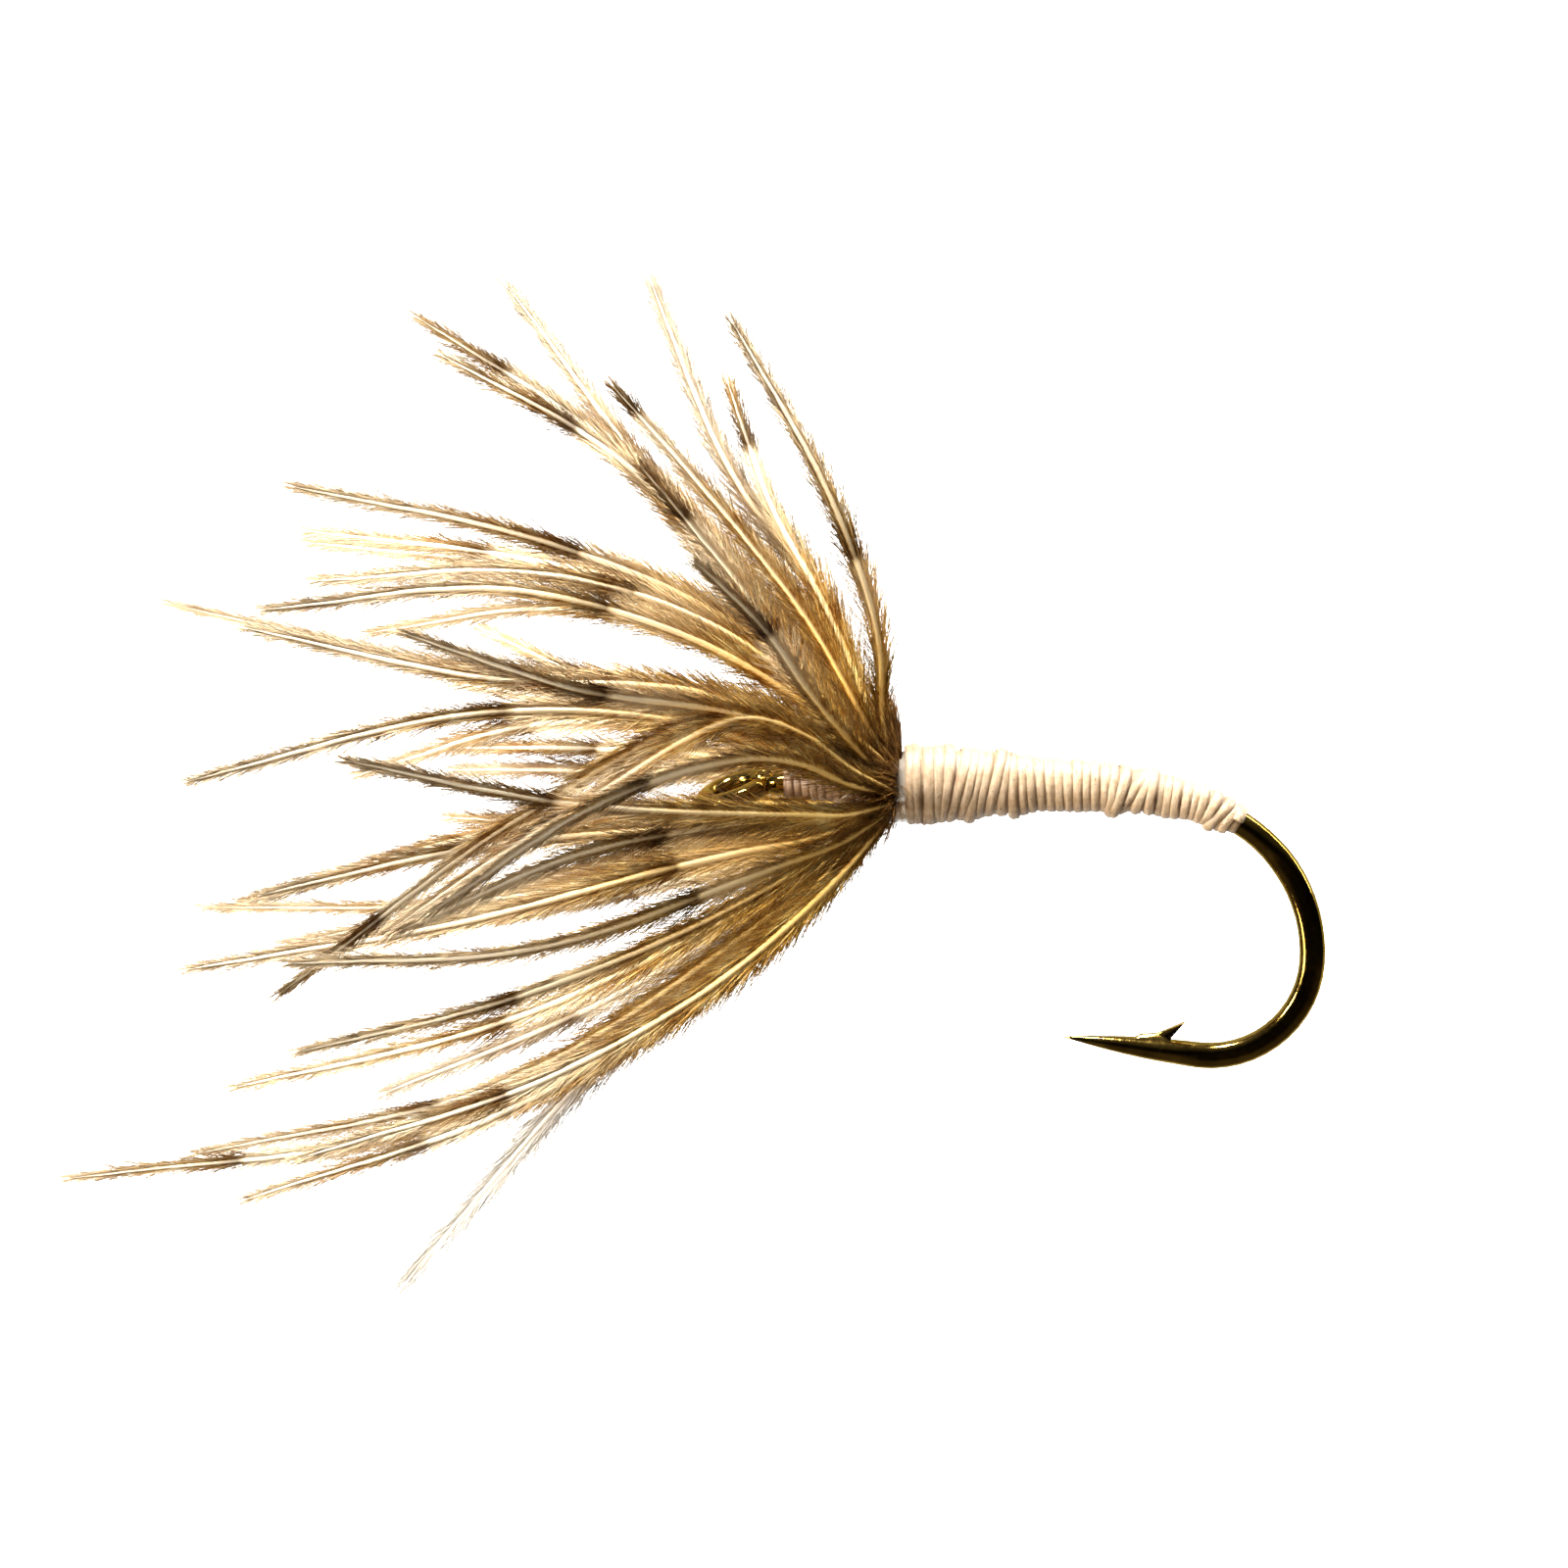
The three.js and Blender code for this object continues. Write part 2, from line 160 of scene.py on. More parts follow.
def frames_along(path, first_normal):
    """Unit tangents, and normals carried along the path with no twist of their own."""
    tangents = unit(np.gradient(path, axis=0))
    normals = np.empty_like(path)
    normal = np.asarray(first_normal, float)
    for i, tangent in enumerate(tangents):
        normal = normal - tangent * (normal @ tangent)
        normal = normal / np.linalg.norm(normal)
        normals[i] = normal
    return tangents, normals


CURVE_STEPS = 20  # between two points of a smooth path, before it is stepped evenly


def smooth_path(points, steps):
    """A smooth curve through points (Catmull-Rom), evenly stepped by length, and its length."""
    points = np.asarray(points, float)
    p = np.vstack([2 * points[0] - points[1], points, 2 * points[-1] - points[-2]])
    fine = []
    for i in range(1, len(p) - 2):
        t = np.linspace(0, 1, CURVE_STEPS, endpoint=False)[:, None]
        a, b, c, d = p[i - 1], p[i], p[i + 1], p[i + 2]
        bend = (2 * a - 5 * b + 4 * c - d) * t**2
        fine.append(0.5 * (2 * b + (c - a) * t + bend + (3 * b - a - 3 * c + d) * t**3))
    fine = np.vstack([*fine, points[-1:]])
    run = length_so_far(fine)
    at = np.linspace(0, run[-1], steps)
    return np.stack([np.interp(at, run, fine[:, k]) for k in range(3)], 1), run[-1]


def swept(path, normals, sides, section):
    """Points of a section swept along a path. section is offsets (normal, side) for each ring corner."""
    return path[:, None] + section[..., :1] * normals[:, None] + section[..., 1:] * sides[:, None]


def add_strand(pile, path, out, side, section, run, **values):
    """A strand swept along a path. It keeps its length so far and the way round it, for its streaks."""
    steps, corners = len(path), section.shape[-2]
    around = np.abs(np.sin(ring_angles(corners) / 2)) * 2
    pile.add(
        swept(path, out, side, section), tube_faces(steps, corners), along=np.repeat(run, corners),
        around=np.tile(around, steps), **values,
    )


# A hair is three rings of three corners and a pointed tip, at these shares of its length.
HAIR_STEPS = np.array([0.0, 0.35, 0.7, 1.0])
HAIR_TAPER = np.array([1.0, 0.85, 0.6])
HAIR_SIDES = 3
HAIR_CORNERS = HAIR_SIDES * len(HAIR_TAPER) + 1
HAIR_CORNER_STEP = np.array([0, 0, 0, 1, 1, 1, 2, 2, 2, 3])


def add_hairs(pile, start, heading, bend, length, width, **values):
    """Bent tapering hairs. A value is one number, one for each hair, or one for each hair and step."""
    n = len(start)
    s = HAIR_STEPS[None, :, None]
    spine = start[:, None] + length[:, None, None] * (heading[:, None] * s + bend[:, None] * s**2)
    across = unit(np.cross(heading, np.array([0.31, -0.9, 0.23])))
    upright = np.cross(heading, across)
    a = ring_angles(HAIR_SIDES)
    round_it = np.cos(a)[None, :, None] * across[:, None] + np.sin(a)[None, :, None] * upright[:, None]
    rings = spine[:, :3, None] + (width[:, None] * HAIR_TAPER)[:, :, None, None] * round_it[:, None]
    points = np.concatenate([rings.reshape(n, -1, 3), spine[:, 3:]], axis=1)
    base = HAIR_CORNERS * np.arange(n)[:, None]
    faces = [base + np.array([2, 1, 0])]
    for j in range(HAIR_SIDES):
        k = (j + 1) % HAIR_SIDES
        faces += [base + np.array([j, k, 3 + k, 3 + j]), base + np.array([3 + j, 3 + k, 6 + k, 6 + j])]
        faces.append(base + np.array([6 + j, 6 + k, 9]))

    def at_corners(value):
        value = np.asarray(value, float)
        if value.ndim == 0:
            return np.full(n * HAIR_CORNERS, float(value))
        if value.ndim == 1:
            return np.repeat(value, HAIR_CORNERS)
        return value[:, HAIR_CORNER_STEP].ravel()

    pile.add(points, faces, **{key: at_corners(value) for key, value in values.items()})


def any_streak(count):
    """Places in the streaks' pattern, chosen at random, for the hairs on silk or horn."""
    return {"along": rng.uniform(0, 9, count), "around": rng.uniform(0, 2, count)}


# ---- Materials --------------------------------------------------------------------------------------

# Colours are linear red, green and blue. A list of stops gives each one's place on a pattern's value.
BRONZE_CLOUD = [(0.3, (0.10, 0.06, 0.011)), (0.52, (0.18, 0.115, 0.026)), (0.75, (0.36, 0.24, 0.06))]
BRONZE_SPECK = (0.75, 0.50, 0.15)
BRONZE_GLINT = (1.0, 0.84, 0.5)

SILK_FIBRES = [(0.3, (0.42, 0.28, 0.17)), (0.5, (0.66, 0.50, 0.34)), (0.68, (0.84, 0.70, 0.53))]
SILK_BLOTCH = (0.62, 0.46, 0.31)
SILK_SPECK = (0.42, 0.27, 0.15)
# painted shade for the grooves between the wraps
SILK_GROOVE_SHADE = (0.36, 0.20, 0.09)
# painted shade: the stray fibres, far darker than the silk, draw a dark outline
SILK_STRAY_FIBRE_SHADE = (0.12, 0.09, 0.06)

HORN_STREAKS = [(0.3, (0.04, 0.014, 0.002)), (0.5, (0.13, 0.055, 0.010)), (0.72, (0.36, 0.19, 0.05))]
FEATHER_GLINT = (1.0, 0.7, 0.3)

# The hackle's colours come in pairs: the inner part of a barb, and its outer part.
INNER_FLANK = [(0.38, (0.18, 0.05, 0.002)), (0.5, (0.72, 0.40, 0.075)), (0.62, (1.0, 0.76, 0.30))]
OUTER_FLANK = [(0.38, (0.26, 0.09, 0.014)), (0.5, (0.66, 0.43, 0.18)), (0.62, (1.0, 0.88, 0.64))]
FLANK_EDGE = (0.12, 0.035, 0.002), (0.24, 0.09, 0.012)
# the ridge's pale colour with a painted highlight on it, for the inner and outer parts
RIDGE_HIGHLIGHT = (1.0, 0.70, 0.24), (1.0, 0.93, 0.76)
CREAM_SHAFT = (1.0, 0.76, 0.38), (1.0, 0.90, 0.72)
BARBULE_TIP = (0.045, 0.015, 0.002), (0.11, 0.075, 0.045)
CREAM_BARBULE = (0.86, 0.58, 0.24), (0.92, 0.79, 0.58)
ROOT_BROWN = (0.09, 0.03, 0.002)
WASHED_GREY = (0.50, 0.48, 0.45)
BAR_BROWN = (0.045, 0.014, 0.0015)

CEMENT_MILK = [(0.35, (0.36, 0.29, 0.21)), (0.65, (0.66, 0.60, 0.51))]


def fill_ramp(node, stops):
    """Give a colour ramp its stops, each a place with a colour or with one number for a grey."""
    elements = node.color_ramp.elements
    while len(elements) < len(stops):
        elements.new(0.5)
    for element, (place, colour) in zip(elements, stops):
        element.position = place
        element.color = (*colour, 1) if hasattr(colour, "__len__") else (colour, colour, colour, 1)


class Shader:
    """A material's node tree, with short calls for the nodes that the fly needs."""

    def __init__(self, name):
        self.material = bpy.data.materials.new(name)
        self.material.use_nodes = True
        self.tree = self.material.node_tree
        self.bsdf = self.tree.nodes["Principled BSDF"]

    def node(self, kind, **settings):
        made = self.tree.nodes.new(kind)
        for key, value in settings.items():
            setattr(made, key, value)
        return made

    def link(self, source, target):
        self.tree.links.new(source, target)

    def value(self, name):
        return self.node("ShaderNodeAttribute", attribute_name=name).outputs["Fac"]

    def vector(self, *parts):
        made = self.node("ShaderNodeCombineXYZ")
        for socket, part in zip(made.inputs, parts):
            self.link(part, socket)
        return made.outputs[0]

    def noise(self, scale, detail, roughness=0.6, vector=None):
        """Noise on the object's own coordinates in metres, unless it is given a vector."""
        made = self.node("ShaderNodeTexNoise")
        made.inputs["Scale"].default_value = scale
        made.inputs["Detail"].default_value = detail
        made.inputs["Roughness"].default_value = roughness
        self.link(vector or self.node("ShaderNodeTexCoord").outputs["Object"], made.inputs["Vector"])
        return made.outputs["Fac"]

    def math(self, operation, a, b):
        made = self.node("ShaderNodeMath", operation=operation)
        for socket, value in zip(made.inputs, (a, b)):
            if isinstance(value, (int, float)):
                socket.default_value = value
            else:
                self.link(value, socket)
        return made.outputs[0]

    def times(self, a, b):
        return self.math("MULTIPLY", a, b)

    def less(self, a, b):
        return self.math("SUBTRACT", a, b)

    def ramp(self, source, *stops):
        made = self.node("ShaderNodeValToRGB")
        fill_ramp(made, stops)
        self.link(source, made.inputs["Fac"])
        return made.outputs["Color"]

    def mix(self, factor, a, b, blend="MIX"):
        made = self.node("ShaderNodeMix", data_type="RGBA", blend_type=blend)
        for socket, value in zip((made.inputs[0], made.inputs[6], made.inputs[7]), (factor, a, b)):
            if isinstance(value, (int, float)):
                socket.default_value = value
            elif isinstance(value, tuple):
                socket.default_value = (*value, 1)
            else:
                self.link(value, socket)
        return made.outputs[2]

    def bump(self, height, strength, distance):
        made = self.node("ShaderNodeBump")
        made.inputs["Strength"].default_value = strength
        made.inputs["Distance"].default_value = distance
        self.link(height, made.inputs["Height"])
        self.link(made.outputs["Normal"], self.bsdf.inputs["Normal"])

    def set(self, **values):
        for key, value in values.items():
            socket = self.bsdf.inputs[key.replace("_", " ")]
            if hasattr(value, "is_linked"):
                self.link(value, socket)
            elif isinstance(value, tuple):
                socket.default_value = (*value, 1)
            else:
                socket.default_value = value


def bronze_material():
    """Bronzed wire: nearly black where it mirrors the room, gold where it catches a light."""
    s = Shader("bronzed_hook_wire")
    cloud = s.noise(1400, detail=5)
    fine = s.noise(9000, detail=3)
    tone = s.ramp(cloud, *BRONZE_CLOUD)
    tone = s.mix(s.ramp(fine, (0.70, 0.0), (0.76, 1.0)), tone, BRONZE_SPECK)
    s.set(Base_Color=tone, Metallic=1.0, Specular_Tint=BRONZE_GLINT)
    s.set(Roughness=s.ramp(fine, (0.25, 0.06), (0.8, 0.2)))
    s.bump(fine, strength=0.25, distance=0.00001)
    return s.material


def silk_material(name, tint):
    """Cream silk, darkened in patches in the grooves between its wraps, which is painted shade. along is mm
    down the thread, around goes from 0 on the thread's outer side to 2 on its inner side, and loose is 1 on
    the stray fibres, which are painted dark as shade."""
    s = Shader(name)
    along, around = s.value("along"), s.value("around")
    fibres = s.noise(1.6, detail=3, vector=s.vector(s.times(along, 1.4), s.times(around, 9.0)))
    blotch = s.noise(1500, detail=4)
    specks = s.ramp(s.noise(8000, detail=4, roughness=0.65), (0.46, 0.0), (0.60, 0.55))
    # painted shade: the grooves between wraps, from the thread's sides inwards, darkened where the patches
    # fall
    grooves = s.ramp(around, (0.4, 0.0), (0.68, 1.0))
    patches = s.ramp(blotch, (0.45, 0.0), (0.62, 0.7))
    tone = s.mix(s.times(blotch, 0.5), s.ramp(fibres, *SILK_FIBRES), SILK_BLOTCH)
    tone = s.mix(specks, tone, SILK_SPECK)
    tone = s.mix(s.times(grooves, patches), tone, SILK_GROOVE_SHADE)
    # painted shade on the stray fibres
    tone = s.mix(s.value("loose"), tone, SILK_STRAY_FIBRE_SHADE)
    tone = s.mix(1.0, tone, tint, "MULTIPLY")
    s.set(Base_Color=tone, Roughness=0.45, Specular_IOR_Level=1.0)
    s.set(Sheen_Weight=0.25, Sheen_Roughness=0.4)
    s.bump(fibres, strength=0.6, distance=0.00002)
    return s.material


def hackle_material():
    """Banded barbs. dark is the dark bar and pale the cream stretch. barbule is 0 on the shaft and rises
    out along a barbule. ridge is the pale top of the shaft, which also carries a painted highlight, near is 1
    at the collar, far rises from 0 on the inner part to 1 on the outer part, grey is how washed out the whole
    barb is, and run and edge are places along the barb and out from its middle."""
    s = Shader("game_bird_hackle")
    names = ("dark", "pale", "barbule", "ridge", "near", "far", "grey", "run", "edge")
    dark, pale, barbule, ridge, near, far, grey, run, edge = (s.value(name) for name in names)

    # slanting streaks, like barbules that lie side by side
    slanted = s.less(s.times(run, 11.0), s.times(edge, 2.6))
    streak = s.noise(1.3, detail=3, vector=s.vector(slanted, edge))
    mottle = s.noise(1300, detail=3)
    grain = s.math("ADD", s.times(streak, 0.6), s.times(mottle, 0.4))

    flank = s.mix(far, s.ramp(grain, *INNER_FLANK), s.ramp(grain, *OUTER_FLANK))
    flank = s.mix(s.ramp(edge, (0.6, 0.0), (0.95, 0.75)), flank, s.mix(far, *FLANK_EDGE))
    flank = s.mix(s.times(near, 0.75), flank, ROOT_BROWN)
    # painted highlight along the ridge, weaker at the collar
    lit_ridge = s.times(ridge, s.less(1.0, s.times(near, 0.4)))
    shaft = s.mix(lit_ridge, flank, s.mix(far, *RIDGE_HIGHLIGHT))
    shaft = s.mix(pale, shaft, s.mix(far, *CREAM_SHAFT))
    hair = s.mix(barbule, flank, s.mix(far, *BARBULE_TIP))
    hair = s.mix(pale, hair, s.mix(far, *CREAM_BARBULE))
    tone = s.mix(s.math("GREATER_THAN", barbule, 0.001), shaft, hair)
    tone = s.mix(grey, tone, WASHED_GREY)
    # the dark bar lets a little of the ridge's painted highlight through
    bar = s.times(dark, s.less(1.0, s.times(ridge, 0.3)))
    tone = s.mix(bar, tone, BAR_BROWN)
    s.set(Base_Color=tone, Roughness=0.45)
    s.set(Specular_IOR_Level=0.05, Specular_Tint=FEATHER_GLINT)
    s.bump(streak, strength=0.3, distance=0.00001)
    return s.material


def stem_material():
    """Brown horn with fine streaks along it."""
    s = Shader("feather_stem_horn")
    lines = s.vector(s.times(s.value("along"), 1.2), s.times(s.value("around"), 7.0))
    streak = s.noise(1.8, detail=4, vector=lines)
    tone = s.ramp(streak, *HORN_STREAKS)
    s.set(Base_Color=tone, Roughness=0.4, Specular_IOR_Level=0.1, Specular_Tint=FEATHER_GLINT)
    s.bump(streak, strength=0.5, distance=0.00001)
    return s.material


def cement_material():
    """Cured head cement: a clear greyish glaze with a milky unevenness."""
    s = Shader("head_cement_glaze")
    milky = s.noise(2600, detail=4)
    s.set(Base_Color=s.ramp(milky, *CEMENT_MILK))
    s.set(Transmission_Weight=0.4, IOR=1.47)
    s.set(Roughness=s.ramp(milky, (0.3, 0.08), (0.7, 0.3)))
    s.bump(milky, strength=0.5, distance=0.00002)
    return s.material


BRONZE, HACKLE = bronze_material(), hackle_material()
SILK = silk_material("tying_silk", tint=(0.74, 0.68, 0.58))
# painted shade: a darker copy of the same silk, for the neck wraps
SHADED_NECK_SILK = silk_material("tying_silk_painted_shade", tint=(0.55, 0.45, 0.36))
HORN, GLAZE = stem_material(), cement_material()

# ---- The hook ---------------------------------------------------------------------------------------


def finish_hook():
    """The CAD hook stays as it is, with its corners welded so that it shades as one smooth wire."""
    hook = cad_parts["hook"]
    hook.data.materials.clear()
    hook.data.materials.append(BRONZE)
    hook.data.polygons.foreach_set("use_smooth", [True] * len(hook.data.polygons))
    weld = hook.modifiers.new("weld", "WELD")
    weld.merge_threshold = 1e-7


# ---- The hackle's barbs -----------------------------------------------------------------------------

BARB_SIDES = 5  # corners in each ring of a CAD barb
BARB_STEPS = 110
BARB_WANDER = 0.003  # mm of drift from step to step near the tip, as a standard deviation
DARK_ROOT = 2.0  # mm of each barb that darkens towards the collar
COLLAR = np.array([3.2, 0.0, 0.15])

# For each barb: the dark bar's distance from the tip and its length in mm, and how faint the barb looks
# in the photo, from 0 to 1.
BARB_LOOKS = [
    (1.2, 0.9, 0.0), (4.9, 0.7, 0.0), (5.0, 1.1, 0.0), (2.2, 1.0, 0.1), (0.0, 0.8, 0.0), (1.0, 0.9, 0.2),
    (6.0, 0.8, 0.1), (6.6, 0.7, 0.0), (2.5, 1.0, 0.2), (5.5, 0.8, 0.2), (1.3, 1.3, 0.0), (4.0, 0.9, 0.2),
    (3.6, 0.9, 0.0), (4.5, 1.0, 0.1), (6.0, 0.8, 0.2), (4.0, 0.9, 0.1), (5.4, 0.9, 0.0), (3.4, 1.0, 0.2),
    (8.1, 0.8, 0.1), (9.4, 0.9, 0.0), (3.8, 0.9, 0.0), (3.8, 0.7, 0.0), (3.3, 0.6, 0.0), (2.9, 0.7, 0.1),
    (4.9, 0.9, 0.0), (4.6, 0.6, 0.1), (5.5, 0.9, 0.85), (4.0, 0.8, 0.6), (4.5, 0.9, 0.3), (7.6, 1.0, 0.1),
    (0.9, 1.0, 0.2), (4.8, 0.9, 0.2), (3.0, 0.8, 0.5), (1.0, 0.7, 0.4), (3.0, 0.8, 0.5), (3.5, 0.8, 0.4),
    (2.3, 1.4, 0.3), (4.5, 0.8, 0.4), (2.2, 0.9, 0.3), (5.4, 0.8, 0.1), (3.9, 0.8, 0.2), (8.0, 0.8, 0.4),
    (0.0, 0.9, 0.1), (3.1, 0.7, 0.1), (4.4, 0.6, 0.5), (0.0, 1.4, 0.1), (5.5, 0.7, 0.6), (3.2, 0.8, 0.1),
]
FAINT_FROM, FAINT_SPAN = 0.3, 0.6  # a barb that looks less faint than the first has its full colours

# The bar fades out towards the tip, and the cream stretch fades out towards the collar, all in mm.
BAR_FADE, BAR_SHARP_END = 0.9, 0.1
CREAM_START, CREAM_LENGTH, CREAM_FADE = 0.12, 1.0, 1.5

# Half of the shaft's section, from the top of its ridge over its thin flank to the underside: places
# across the flank and through the ridge, as shares of the flank's half width and the ridge's height.
HALF_SECTION = [(0, 1), (0.3, 0.8), (0.44, 0.3), (0.7, 0.17), (1, 0), (0.7, -0.17), (0.44, -0.3), (0.3, -0.8)]
SECTION = np.array(HALF_SECTION + [(-u, -h) for u, h in HALF_SECTION])
# where round the section the ridge's pale colour and painted highlight lie
SECTION_RIDGE_HIGHLIGHT = np.clip(1.5 - 3.6 * np.abs(SECTION[:, 0]), 0, 1)

# The barbules lie in two rows on each side of the shaft: spacing, share of the full reach, lean from the
# shaft in degrees and its spread, half width in mm, and how far each one's tip turns to the tips' colour.
BARBULE_ROWS = [(0.045, 0.95, 12, 3, 0.0125, 0.3), (0.036, 0.95, 26, 6, 0.0078, 1.0)]
BARBULE_TURN = np.array([0.1, 0.45, 0.85, 1.0])  # how much of that turn each step of the barbule has made
FIRST_BARBULE, BARE_LENGTH = 0.2, 0.25  # mm from the root, and mm of the whole barb that has none
BARBULE_JITTER = 0.4  # of their spacing
BARBULE_LENGTHS, BARBULE_WIDTHS = (0.72, 1.12), (0.8, 1.25)  # ranges, as shares of the usual ones
BENDS_FORWARDS, BENDS_INWARDS = (0.02, 0.16), (0.0, 0.10)  # ranges, as shares of the barbule's length


def barb_centreline(name):
    """Points down a CAD barb from its root, in mm: the middles of its rings."""
    points = node_points(name)
    order = np.argsort(np.linalg.norm(points - COLLAR, axis=1))
    return points[order].reshape(-1, BARB_SIDES, 3).mean(1)


def ridge_height(t):
    """How far the ridge stands off the shaft's middle, in mm, at a share t of the way to the tip."""
    return 0.05 * (1 - t) ** 0.7 + 0.010


def flank_width(t):
    """Half the flank's width, in mm."""
    return np.interp(t, [0, 0.15, 0.45, 0.8, 0.96, 1], [0.07, 0.13, 0.135, 0.105, 0.055, 0.012])


def barbule_reach(t):
    """The length of a barbule in mm, by where along the barb it grows."""
    return np.interp(t, [0, 0.1, 0.3, 0.55, 0.93, 1], [0.5, 1.0, 1.25, 1.05, 0.8, 0.45])


def outward_share(t):
    """How far a barb has turned from its inner colours to its lighter outer ones."""
    return np.clip((t - 0.2) / 0.55, 0, 1)


def barb_colours(from_tip, look):
    """dark and pale along a barb, from the distance to its tip in mm."""
    bar_at, bar_length, _ = look
    inner = from_tip - bar_at - bar_length
    fade_out = np.clip((from_tip - bar_at + BAR_FADE) / (bar_length + BAR_FADE), 0, 1) ** 1.5
    dark = fade_out * np.clip(0.5 - inner / BAR_SHARP_END, 0, 1)
    pale = np.clip(inner / CREAM_START, 0, 1) * np.clip(1 - (inner - CREAM_LENGTH) / CREAM_FADE, 0, 1)
    beyond = np.clip((bar_at - 0.5 - from_tip) / 2.0, 0, 1)
    return dark, np.maximum(pale, 0.5 * beyond)


class Barb:
    """A barb's course. t is the share of the way from its root to its tip, and each step along it has a
    place, a tangent, the way its ridge faces and the way its vane spreads."""

    def __init__(self, index):
        self.node = f"hackle_barb_{index + 1:02d}"
        self.look = BARB_LOOKS[index]
        self.grey = max(0.0, (self.look[2] - FAINT_FROM) / FAINT_SPAN) ** 1.5
        course, self.length = smooth_path(barb_centreline(self.node), BARB_STEPS)
        self.t = np.linspace(0, 1, BARB_STEPS)
        wander = np.cumsum(rng.normal(0, 1, (BARB_STEPS, 3)), axis=0)
        wander = wander - np.linspace(wander[0], wander[-1], BARB_STEPS)
        self.path = course + wander * (BARB_WANDER * self.t[:, None])
        towards_camera = [rng.normal(0, 0.15), -1.0, rng.normal(0, 0.25)]
        self.tangents, normals = frames_along(self.path, towards_camera)
        roll = np.linspace(0, rng.normal(0, 0.3), BARB_STEPS)[:, None]
        sideways = np.cross(self.tangents, normals)
        self.facing = normals * np.cos(roll) + sideways * np.sin(roll)
        self.vane = np.cross(self.tangents, self.facing)

    def at(self, places, values):
        """Points or directions that each step has, at other shares of the way along."""
        return np.stack([np.interp(places, self.t, values[:, k]) for k in range(3)], 1)

    def near(self, places):
        """1 at the collar, and down to 0 where the dark root ends."""
        return np.clip(1 - self.length * places / DARK_ROOT, 0, 1)


def add_shaft(pile, barb):
    """The shaft: a ridge with a thin flank on either side, where the barbules' bases lie together."""
    t, corners = barb.t, len(SECTION)
    ragged = 1 + 0.1 * np.interp(t, np.linspace(0, 1, 24), rng.normal(0, 1, 24))
    half = (flank_width(t) * ragged)[:, None] * SECTION[None, :, 0]
    high = ridge_height(t)[:, None] * SECTION[None, :, 1]
    points = swept(barb.path, barb.facing, barb.vane, np.stack([high, half], -1))
    dark, pale = barb_colours(barb.length * (1 - t), barb.look)
    near = barb.near(t)

    def all_round(values):
        return np.repeat(values, corners)

    pile.add(
        points, tube_faces(BARB_STEPS, corners), dark=all_round(dark), pale=all_round(pale * (1 - near)),
        barbule=0.0, ridge=np.tile(SECTION_RIDGE_HIGHLIGHT, BARB_STEPS), near=all_round(near), grey=barb.grey * 0.8,
        far=all_round(outward_share(t)), run=all_round(barb.length * t),
        edge=np.tile(np.abs(SECTION[:, 0]), BARB_STEPS),
    )


def add_barbules(pile, barb, row, side):
    """One row of barbules on one side, which lie on the flank and then stand out past its edge."""
    spacing, share, lean, lean_spread, width, turned = row
    length = barb.length
    count = int((length - BARE_LENGTH) / spacing)
    jitter = rng.uniform(-BARBULE_JITTER, BARBULE_JITTER, count)
    at = (FIRST_BARBULE + spacing * (np.arange(count) + jitter)) / length
    at = at[(at > 0) & (at < 0.998)]
    n = len(at)
    along = unit(barb.at(at, barb.tangents))
    out = unit(barb.at(at, barb.vane)) * side
    up = unit(barb.at(at, barb.facing))
    reach = barbule_reach(at) * share * rng.uniform(*BARBULE_LENGTHS, n) * (1 + 0.6 * barb.grey)
    angle = np.radians(rng.normal(lean, lean_spread, n) - 0.3 * lean * at**2)
    rise = rng.normal(0, 0.09, n)
    across, off = (0.45 * flank_width(at))[:, None], (0.1 * ridge_height(at))[:, None]
    start = barb.at(at, barb.path) + out * across + up * off
    heading = unit(along * np.cos(angle)[:, None] + (out + up * rise[:, None]) * np.sin(angle)[:, None])
    bend = along * rng.uniform(*BENDS_FORWARDS, n)[:, None] - out * rng.uniform(*BENDS_INWARDS, n)[:, None]
    near = barb.near(at)
    forward = (reach * np.cos(angle))[:, None] * HAIR_STEPS
    dark, pale = barb_colours(length * (1 - at)[:, None] - forward, barb.look)
    dark = np.maximum(dark, 0.6 * dark[:, :1])
    pale = pale * (1.0 - 0.6 * turned) * (1 - near)[:, None]
    add_hairs(
        pile, start, heading, bend, reach, width * rng.uniform(*BARBULE_WIDTHS, n), dark=dark, pale=pale,
        near=near, far=outward_share(at), grey=barb.grey, barbule=turned * np.tile(BARBULE_TURN, (n, 1)),
        ridge=0.0, run=length * at, edge=rng.uniform(0.2, 0.9, n),
    )


def make_barb(index):
    barb, pile = Barb(index), Pile()
    add_shaft(pile, barb)
    for row in BARBULE_ROWS:
        for side in (-1, 1):
            add_barbules(pile, barb, row, side)
    piece = pile.build(f"barb_{index + 1:02d}", HACKLE, "hackle")
    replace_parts(piece, barb.node)


# ---- The hackle's stem ------------------------------------------------------------------------------

# The stem's helix, as the CAD model winds it, in mm.
STEM_TURNS, STEM_PITCH, STEM_HELIX_R, STEM_R = 3, 0.178, 0.42, 0.083
STEM_END = 2.78  # where the windings end, from the shank's start
STEM_STEPS, STEM_SIDES, STEM_GROOVES = 64 * STEM_TURNS, 14, 5
STEM_HALF_HEIGHT, STEM_HALF_WIDTH = 0.078, 0.086
DOWN_HAIRS, TUFT_HAIRS = 1500, 420
DOWN_ROOT = 0.06  # mm from the stem's middle
FORWARDS = np.array([-1.0, 0, 0])


